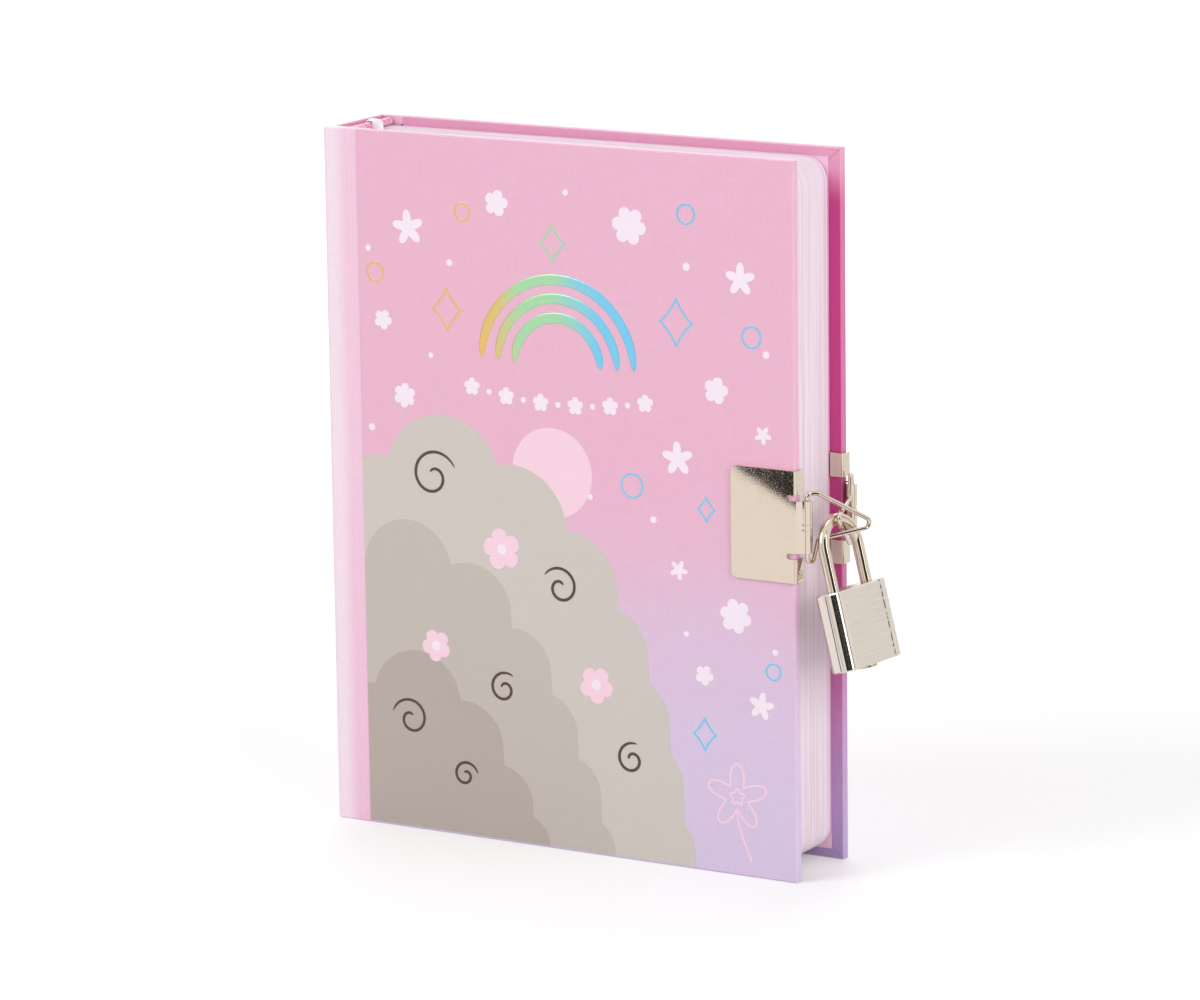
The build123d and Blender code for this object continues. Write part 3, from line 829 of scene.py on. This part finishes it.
class DIARY_OT_stage(Build, bpy.types.Operator):
    """Pale floor, soft lamps and the camera"""
    bl_idname = "diary.stage"
    bl_label = "Stage"

    def execute(self, context):
        stage = context.scene.diary_stage
        corners = [[(x, y, 0) for y in (-9000, 14000)] for x in (-12000, 12000)]
        floor = solid("floor", [grid(corners)], smooth=False)
        floor.data.materials.append(floor_paint())
        context.scene.world = studio(stage.sky)
        set_cards(stage.place)
        for name, place, size in LAMPS:
            hang_lamp(name, place, size, getattr(stage, name))
        set_camera(stage)
        context.scene.view_settings.view_transform = "Standard"
        return {"FINISHED"}


def hinge_section():
    """The hinge paper's path round a cover, as (distance from the middle, height).

    It runs over the inner face, head, outer face, tail and inner face, and stands loose of the board.
    """
    loose = 0.015
    turned = 2.2
    inner, outer, head, tail = HALF - WALL - loose, HALF + loose, HEIGHT + loose, -loose
    small = EDGE_ROUND * 0.6
    section = rounded([(inner, HEIGHT - turned), (inner, head), (outer, head), (outer, tail), (inner, tail),
                       (inner, turned)], [small, EDGE_ROUND, EDGE_ROUND, small])
    # the long outer face in 40 steps
    longest = np.argmax(np.linalg.norm(np.diff(section, axis=0), axis=1))
    start, end = section[longest:longest + 2]
    share = np.linspace(0, 1, 40)[1:-1, None]
    return np.vstack([section[:longest + 1], start + share * (end - start), section[longest + 1:]])


def hinge_skin(section, side):
    """The section carried along x past the hinge line, pressed in by a groove 0.07 exp(-(dx / 0.22)^2)."""
    along = np.gradient(section, axis=0)
    along /= np.linalg.norm(along, axis=1, keepdims=True)
    outward = np.stack([-along[:, 1], along[:, 0]], 1)
    x = HINGE_X + np.concatenate([np.linspace(-2.4, -0.5, 5), np.linspace(-0.42, 0.42, 25),
                                  np.linspace(0.5, 2.4, 5)])
    groove = 0.07 * np.exp(-((x - HINGE_X) / 0.22) ** 2)
    lift = np.interp(np.abs(x - HINGE_X), [1.6, 2.4], [0.0, -0.014])
    flat = section[None] + (lift - groove)[:, None, None] * outward[None]
    points = [np.broadcast_to(x[:, None], flat.shape[:2]), side * flat[..., 0], flat[..., 1]]
    return grid(np.stack(points, -1), flip=side < 0)


class DIARY_OT_case(Build, bpy.types.Operator):
    """Printed paper on the boards, and the paper that crosses each hinge"""
    bl_idname = "diary.case"
    bl_label = "Case"

    def execute(self, context):
        paint(cover_paper(), "front_wrap", "back_wrap", "spine_wrap")
        paint(plain_paper("board", context.scene.diary_paper.board, grain=900.0), "spine_board",
              "front_joint_strip", "back_joint_strip", "front_board", "back_board")
        own = cover_paper(own=True)
        section = hinge_section()
        # the metres on each side of the hinge line at the two ends passed with each hinge paper
        bend = 0.0003
        for side, cover in ((-1, "front_cover"), (1, "back_cover")):
            skin = solid(cover.replace("cover", "hinge_paper"), [hinge_skin(section, side)])
            ends = [(HINGE_X * MM + way * bend, side * HALF * MM, 0) for way in (-1, 1)]
            wear(skin, own, blend=("book", cover, *ends))
        return {"FINISHED"}


def clouds(prints, first, step):
    """The moon, three banks of clouds, and blossoms with their centres: name, colour and grids of each."""
    far = [(14, 84, 13), (33, 92, 17), (53, 82, 16), (69, 68, 14.5), (79, 52, 13), (86, 36, 12),
           (91, 20, 11), (95, 4, 10)]
    middle = [(8, 60, 10), (22, 68, 13), (40, 59, 12.5), (53, 45, 11), (61, 30, 10.5), (68, 15, 10),
              (73, 1, 9)]
    near = [(10, 25, 12), (24, 34, 13), (38, 24, 11.5), (48, 10, 10), (55, 0, 8)]
    moon = (65.0, 97.0)
    blossoms = (((50, 76), 5.4, 0.2), ((77, 44), 4.8, 0.7), ((30, 49), 4.2, 0.5))
    foot = 0.6
    ring = star(1.0, 1, 0.0)
    return [("moon_print", prints.blush, [patch(np.array(moon) + 11.5 * ring, moon, step)]),
            ("cloud_print", prints.cloud, [bank(far, foot, first, 2 * step)]),
            ("middle_print", prints.middle, [bank(middle, foot, first, 3 * step)]),
            ("shade_print", prints.shade, [bank(near, foot, first, 4 * step)]),
            ("blossom_print", prints.blush,
             [patch(np.array(place) + star(size, 5, 0.36, 0.5, turn=turn), place, 5 * step)
              for place, size, turn in blossoms]),
            ("blossom_centre_print", prints.white,
             [patch(np.array(place) + 1.3 * ring, place, 6 * step) for place, _, _ in blossoms])]


def curls(step):
    """Thin spirals r (1 - 0.82 t), of 1.3 turns each."""
    lines = []
    t = np.linspace(0, 1, 90)
    for place, size, turn, way in (((30, 93), 7.0, 0.4, 1), ((67, 68), 5.4, 2.6, -1),
                                   ((87, 26), 4.4, 1.2, 1), ((22, 29), 5.6, 2.9, -1),
                                   ((50, 40), 4.4, 0.9, 1), ((38, 16), 3.8, 0.2, 1)):
        curl = (size * (1 - 0.82 * t))[:, None] * circle(turn + way * t * 2.6 * math.pi)
        lines.append(stroke(curl + place, 0.75, 6 * step, taper=1.0))
    return lines


def white_shapes(step):
    """Stars, flowers and dots over the cover, and a row of flowers and dots under the arcs."""
    pointed, petalled, broad = (5, 0.56, 1.6), (5, 0.42, 0.5), (6, 0.40, 0.5)
    ring = star(1.0, 1, 0.0)
    shapes = []
    for x, z, size, kind in ((24, 156, 4.6, pointed), (50, 164, 3.4, petalled), (88, 161, 4.8, broad),
                             (119, 150, 4.2, pointed), (16, 132, 2.6, petalled),
                             (112, 122, 3.4, petalled), (101, 104, 4.4, pointed),
                             (125, 112, 2.4, pointed), (117, 66, 4.4, broad), (101, 76, 2.6, pointed),
                             (124, 44, 3.6, pointed), (108, 50, 2.6, petalled), (22, 113, 3.2, broad)):
        shapes.append(((x, z), star(size, *kind, turn=0.3 * size)))
    for x, z, size in ((36, 148, 0.9), (104, 152, 1.0), (70, 168, 0.8), (126, 132, 0.9),
                       (30, 124, 0.7), (94, 88, 0.9), (76, 92, 0.7), (128, 58, 0.8), (103, 60, 0.7),
                       (12, 150, 0.8), (12, 104, 0.9)):
        shapes.append(((x, z), size * ring))
    for index, t in enumerate(np.linspace(-1, 1, 11)):
        shape = 0.75 * ring if index % 2 else star(2.3, *petalled)
        shapes.append(((67 + 25 * t, 114.5 + 2.5 * t * t), shape))
    return [patch(np.array(place) + shape, place, 2 * step) for place, shape in shapes]


def line_flower(step):
    """A flower in thin lines, r = a + b cos(5 t), inside another, on a stalk."""
    middle = (117, 20)
    t = np.linspace(0, FULL_TURN, 400, endpoint=False)
    around = np.stack([np.sin(t), np.cos(t)], 1)
    lines = [stroke((mean + wave * np.cos(5 * t))[:, None] * around + middle, 0.5, 2 * step, closed=True)
             for mean, wave in ((5.9, 2.6), (1.7, 0.4))]
    t = np.linspace(0, 1, 60)
    stalk = np.stack([middle[0] + 4 * np.sin(1.6 * t) * t, 16.2 - 12.5 * t], 1)
    return lines + [stroke(stalk, 0.5, 2 * step)]


class DIARY_OT_print(Build, bpy.types.Operator):
    """Clouds, stars and flowers printed on the front cover"""
    bl_idname = "diary.print"
    bl_label = "Print"

    def execute(self, context):
        prints = context.scene.diary_print
        step = prints.ink / MM
        pieces = clouds(prints, context.scene.diary_paper.strip / MM, step)
        pieces += [("curl_print", prints.line, curls(step)),
                   ("white_print", prints.white, white_shapes(step)),
                   ("line_print", prints.blush, line_flower(step))]
        for name, tone, grids in pieces:
            wear(solid(name, grids, smooth=False), ink(name, tone), "front_cover")
        return {"FINISHED"}


class DIARY_OT_foil(Build, bpy.types.Operator):
    """Foil pressed on the front cover: three arcs and small outlines"""
    bl_idname = "diary.foil"
    bl_label = "Foil"

    def execute(self, context):
        crown = context.scene.diary_print.foil / MM
        t = np.linspace(0.02, 1.98, 120) * QUARTER_TURN
        lines = [stroke(radius * circle(t) + (67, 124), 2.7, 0.02, taper=1.0, crown=crown)
                 for radius in (22.0, 17.2, 12.4)]
        t = np.linspace(0, FULL_TURN, 120, endpoint=False)
        ring = circle(t)
        # a circle's sine and cosine raised to this power make a diamond with hollow sides
        diamond = rounded_power(ring, 2.4) * (1, 1.3)
        for x, z, size, shape in ((35, 136, 4.2, diamond), (101, 138, 4.6, diamond),
                                  (66, 155, 3.6, diamond), (122, 136, 2.6, ring), (14, 144, 2.4, ring),
                                  (88, 96, 3.0, ring), (109, 92, 2.4, diamond), (108, 35, 3.2, diamond),
                                  (127.5, 53, 2.0, ring), (40, 161, 2.2, ring), (104, 165, 2.4, ring)):
            lines.append(stroke(size * shape + (x, z), 0.5, 0.02, closed=True, crown=0.015))
        wear(solid("foil_print", lines), foil(), "front_cover")
        return {"FINISHED"}


def ribbon_line(low, over, behind, before):
    """Stations along the ribbon's middle in the plane y = 0: up behind the band, over it and down."""
    path = rounded([(behind, over - 9.0), (behind, over), (before, over), (before + 1.0, over - 3.2),
                    (before + 1.0, low)], [1.2, 1.1, 1.5], 14)
    steps = np.linalg.norm(np.diff(path, axis=0), axis=1)
    reached = np.concatenate([[0], np.cumsum(steps)])
    stations = np.concatenate([np.arange(0, 24, 0.15), np.linspace(24, reached[-1], 60)])
    return stations, np.stack([np.interp(stations, reached, path[:, k]) for k in (0, 1)], 1)


def ribbon_points(wide_half):
    """The ribbon: a flat loop |u / w|^(2 / 0.3) + |v / t|^(2 / 0.3) = 1 carried along its line.

    It turns by a quarter past the band, to lie between two sections, and bulges over the band.
    """
    low, high = at("ribbon_marker"), at("ribbon_marker", 1)
    band_low, band_high = at("head_band"), at("head_band", 1)
    over = band_high[2] + 0.22
    stations, line = ribbon_line(low[2] + 0.2, over, band_low[0] - 0.2, band_high[0] + 0.3)
    twist = np.clip((stations - 10.2) / 4.0, 0, 1)
    turn = QUARTER_TURN * twist * twist * (3 - 2 * twist)
    along = np.gradient(line, axis=0)
    along /= np.linalg.norm(along, axis=1, keepdims=True)
    wide, thin = (np.stack([-part * along[:, 1], other, part * along[:, 0]], 1) for part, other in
                  ((np.sin(turn), np.cos(turn)), (np.cos(turn), -np.sin(turn))))
    sideways = (low[1] + high[1]) / 2 + 1.0 - 0.83 * twist
    centre = np.stack([line[:, 0], sideways, line[:, 1]], 1)
    loop = rounded_power(circle(np.linspace(0, FULL_TURN, 28, endpoint=False)), 0.3) * (wide_half, 0.11)
    bulge = 0.4 * (1 - twist) * np.clip((line[:, 1] - over + 3) / 3, 0, 1)
    hump = bulge[:, None] * (1 - (loop[:, 0] / wide_half) ** 2)
    points = (centre[:, None] + loop[:, 0][None, :, None] * wide[:, None]
              + (loop[:, 1] + hump)[..., None] * thin[:, None])
    ends = np.repeat(points[[0, -1]].mean(1, keepdims=True), len(loop), axis=1)
    return np.concatenate([ends[:1], points, ends[1:]])


class DIARY_OT_pages(Build, bpy.types.Operator):
    """Page block, flyleaves, pastedowns, bands, lining and the ribbon marker"""
    bl_idname = "diary.pages"
    bl_label = "Pages"

    def execute(self, context):
        paper = context.scene.diary_paper
        lining = (0.8, 0.74, 0.72)
        paint(page_edges("page_paper", paper.page), "gutter_leaves", "leaf_group_1", "leaf_group_2",
              *numbered("section_"))
        paint(plain_paper("endpaper", paper.endpaper), "front_flyleaf", "back_flyleaf",
              "front_pastedown", "back_pastedown")
        paint(plain_paper("lining_cloth", lining, grain=1200.0, depth=0.00006), "spine_lining")
        paint(satin("band_cloth", paper.band, mottle=0.5), "head_band", "tail_band")
        points = ribbon_points(paper.ribbon / MM / 2)
        ribbon = solid("ribbon", [grid(points, close_v=True, flip=True)])
        wear(ribbon, satin("ribbon", paper.ribbon_tone), "book", stands_for=("ribbon_marker",))
        return {"FINISHED"}


class DIARY_OT_clasp(Build, bpy.types.Operator):
    """Clasp plates and wire bails"""
    bl_idname = "diary.clasp"
    bl_label = "Clasp"

    def execute(self, context):
        metal = context.scene.diary_metal
        paint(plated("clasp_nickel", metal.nickel, rough=metal.plate_dull), "front_clasp_plate",
              "back_clasp_plate")
        paint(plated("bail_nickel", metal.nickel, rough=metal.wire_dull), "front_bail", "back_bail")
        return {"FINISHED"}


class DIARY_OT_padlock(Build, bpy.types.Operator):
    """Padlock case, shackle and lock parts"""
    bl_idname = "diary.padlock"
    bl_label = "Padlock"

    def execute(self, context):
        metal = context.scene.diary_metal
        paint(plated("shackle_chrome", metal.nickel, rough=metal.wire_dull), "shackle")
        across, down = (np.array(joint(name)["axis"]) for name in ("latch_slide", "case_drop"))
        middle = float(across @ joint("key_turn")["pos_m"])
        half = metal.face / 2
        face = (across, down, middle, half, half - 0.0011)
        paint(plated("case_nickel", metal.steel, brushed=0.3, rough=0.22, face=face), "lock_case")
        paint(plated("plug_brass", metal.plug, brushed=0.3, rough=0.2), "key_plug", "latch_bolt")
        paint(plated("pin_steel", metal.steel, rough=0.25), "heel_pin", "shackle_spring",
              *numbered("key_pin_", "driver_pin_", "pin_spring_", "chamber_plug_"))
        return {"FINISHED"}


OPERATORS = (DIARY_OT_stage, DIARY_OT_case, DIARY_OT_print, DIARY_OT_foil, DIARY_OT_pages, DIARY_OT_clasp,
             DIARY_OT_padlock)
GROUPS = (("diary_paper", DiaryPaper), ("diary_print", DiaryPrint), ("diary_metal", DiaryMetal),
          ("diary_stage", DiaryStage))


class DIARY_PT_panel(bpy.types.Panel):
    """Lists the pieces that can be built and their sizes and colours"""
    bl_idname = "DIARY_PT_panel"
    bl_label = "Diary with lock"
    bl_space_type = "VIEW_3D"
    bl_region_type = "UI"
    bl_category = "Diary"

    def draw(self, context):
        for operator in OPERATORS:
            self.layout.operator(operator.bl_idname)
        for name, group in GROUPS:
            box = self.layout.box()
            for key in group.__annotations__:
                box.prop(getattr(context.scene, name), key)


def register():
    """Adds the classes and their properties."""
    for name, group in GROUPS:
        bpy.utils.register_class(group)
        setattr(bpy.types.Scene, name, PointerProperty(type=group))
    for kind in (*OPERATORS, DIARY_PT_panel):
        bpy.utils.register_class(kind)


def unregister():
    """Takes them away again."""
    for kind in (DIARY_PT_panel, *reversed(OPERATORS)):
        bpy.utils.unregister_class(kind)
    for name, group in reversed(GROUPS):
        delattr(bpy.types.Scene, name)
        bpy.utils.unregister_class(group)


def main():
    """Builds everything."""
    register()
    for operator in OPERATORS:
        space, call = operator.bl_idname.split(".")
        getattr(getattr(bpy.ops, space), call)()
    bpy.context.view_layer.update()


if __name__ == "__main__":
    main()
